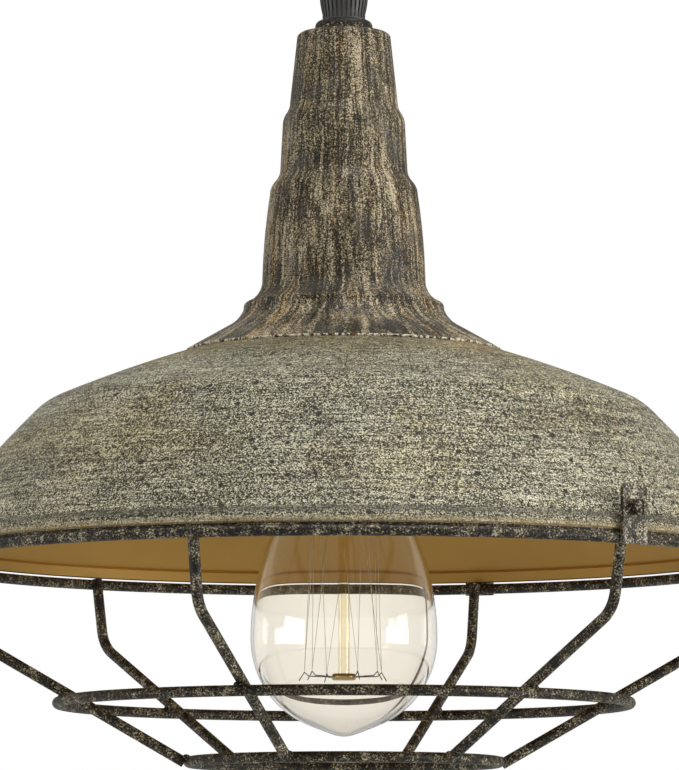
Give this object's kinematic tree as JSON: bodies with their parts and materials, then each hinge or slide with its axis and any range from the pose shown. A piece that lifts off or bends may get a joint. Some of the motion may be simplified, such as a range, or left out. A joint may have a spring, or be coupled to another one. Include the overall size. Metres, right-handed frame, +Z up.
{
  "type": "caged pendant ceiling light",
  "caption": "Farmhouse pendant ceiling light: stepped neck casting, spun dome shade, bent-wire cage held by screw clips, and a pear-shaped filament bulb.",
  "frame": {"origin": "on the lamp's axis, in the mouth of the cord grip's grommet, 1 mm below its top face", "axes": "+Z up along the cord, -Z down through neck, shade and bulb; the picture's camera looks along +Y"},
  "size_m": [0.2903, 0.2872, 0.2764],
  "materials": {
    "grip_plastic": "satin moulded black",
    "grommet_rubber": "matt black",
    "nylon": "natural white",
    "collar_brown": "dark brown, satin",
    "weathered_neck": "tan with dark streaks like wood grain, matt",
    "weathered_shade": "grey-green and cream speckle outside, dull gold inside",
    "dark_bronze": "dark bronze with gold and grey speckle",
    "speckled_strap": "grey and dark speckle",
    "clip_screw_steel": "darkened steel",
    "zinc_steel": "zinc plated",
    "porcelain": "glazed white porcelain",
    "brass": "bright",
    "cap_brass": "bright",
    "solder": "dull solder",
    "black_glass": "black glass",
    "amber_glass": "clear with a warm amber tint",
    "stem_glass": "clear",
    "bead_glass": "golden",
    "support_wire": "dark wire",
    "filament": "fine dark thread"
  },
  "bodies": {
    "lamp": {"cord_grommet": "grommet_rubber", "cord_grip_body": "grip_plastic", "neck_collar": "collar_brown", "neck_casting": "weathered_neck", "threaded_tube": "zinc_steel", "tube_lock_washer": "zinc_steel", "tube_lock_nut": "zinc_steel", "neck_screws": "zinc_steel", "neck_screw_washers": "zinc_steel", "shade": "weathered_shade", "holder_cap": "zinc_steel", "holder_set_screw": "zinc_steel", "holder_body": "porcelain", "holder_shell": "brass", "holder_contact": "brass", "holder_terminals": "brass", "holder_terminal_screws": "brass", "cage_top_ring": "dark_bronze", "cage_middle_ring": "dark_bronze", "cage_bottom_ring": "dark_bronze", "cage_bar_1": "dark_bronze", "cage_bar_2": "dark_bronze", "cage_bar_3": "dark_bronze", "cage_bar_4": "dark_bronze", "cage_bar_5": "dark_bronze", "cage_bar_6": "dark_bronze", "clip_strap_1": "speckled_strap", "clip_strap_2": "speckled_strap", "clip_strap_3": "speckled_strap"},
    "grip_washer": {"grip_slip_washer": "nylon"},
    "grip_nut": {"cord_grip_nut": "grip_plastic"},
    "bulb_tip": {"bulb_contact": "solder"},
    "bulb": {"bulb_cap_insulator": "black_glass", "bulb_cap_shell": "cap_brass", "bulb_glass": "amber_glass", "bulb_stem": "stem_glass", "stem_beads": "bead_glass", "bulb_support_wires": "support_wire", "bulb_filament": "filament", "bulb_lead_wires": "support_wire"},
    "clip_tip_1": {"clip_tip_1": "nylon"},
    "clip_screw_1": {"clip_screw_1": "clip_screw_steel"},
    "clip_tip_2": {"clip_tip_2": "nylon"},
    "clip_screw_2": {"clip_screw_2": "clip_screw_steel"},
    "clip_tip_3": {"clip_tip_3": "nylon"},
    "clip_screw_3": {"clip_screw_3": "clip_screw_steel"}
  },
  "joints": [
    {"name": "grip_nut_lift", "type": "slide", "parent": "lamp", "child": "grip_washer", "axis": [0, 0, 1], "range_m": [0, 0.0024]},
    {"name": "grip_nut_turn", "type": "hinge", "parent": "grip_washer", "child": "grip_nut", "pos_m": [0, 0, 0], "axis": [0, 0, 1], "range_deg": [0, 720]},
    {"name": "bulb_drop", "type": "slide", "parent": "lamp", "child": "bulb_tip", "axis": [0, 0, -1], "range_m": [0, 0.02177]},
    {"name": "bulb_turn", "type": "hinge", "parent": "bulb_tip", "child": "bulb", "pos_m": [0, 0, -0.135], "axis": [0, 0, -1], "range_deg": [0, 2160]},
    {"name": "clip_1_travel", "type": "slide", "parent": "lamp", "child": "clip_tip_1", "axis": [0.6406, -0.7678, 0], "range_m": [0, 0.0025]},
    {"name": "clip_1_turn", "type": "hinge", "parent": "clip_tip_1", "child": "clip_screw_1", "pos_m": [0.09161, -0.1098, -0.1938], "axis": [0.6406, -0.7678, 0], "range_deg": [0, 1800]},
    {"name": "clip_2_travel", "type": "slide", "parent": "lamp", "child": "clip_tip_2", "axis": [0.3446, 0.9387, 0], "range_m": [0, 0.0025]},
    {"name": "clip_2_turn", "type": "hinge", "parent": "clip_tip_2", "child": "clip_screw_2", "pos_m": [0.04928, 0.13424, -0.1938], "axis": [0.3446, 0.9387, 0], "range_deg": [0, 1800]},
    {"name": "clip_3_travel", "type": "slide", "parent": "lamp", "child": "clip_tip_3", "axis": [-0.9853, -0.1709, 0], "range_m": [0, 0.0025]},
    {"name": "clip_3_turn", "type": "hinge", "parent": "clip_tip_3", "child": "clip_screw_3", "pos_m": [-0.1409, -0.02444, -0.1938], "axis": [-0.9853, -0.1709, 0], "range_deg": [0, 1800]}
  ],
  "couplings": [
    {"joint": "grip_nut_turn", "follows": "grip_nut_lift", "rad_per_m": 5236},
    {"joint": "bulb_turn", "follows": "bulb_drop", "rad_per_m": 1731.4},
    {"joint": "clip_1_turn", "follows": "clip_1_travel", "rad_per_m": 12566},
    {"joint": "clip_2_turn", "follows": "clip_2_travel", "rad_per_m": 12566},
    {"joint": "clip_3_turn", "follows": "clip_3_travel", "rad_per_m": 12566}
  ]
}
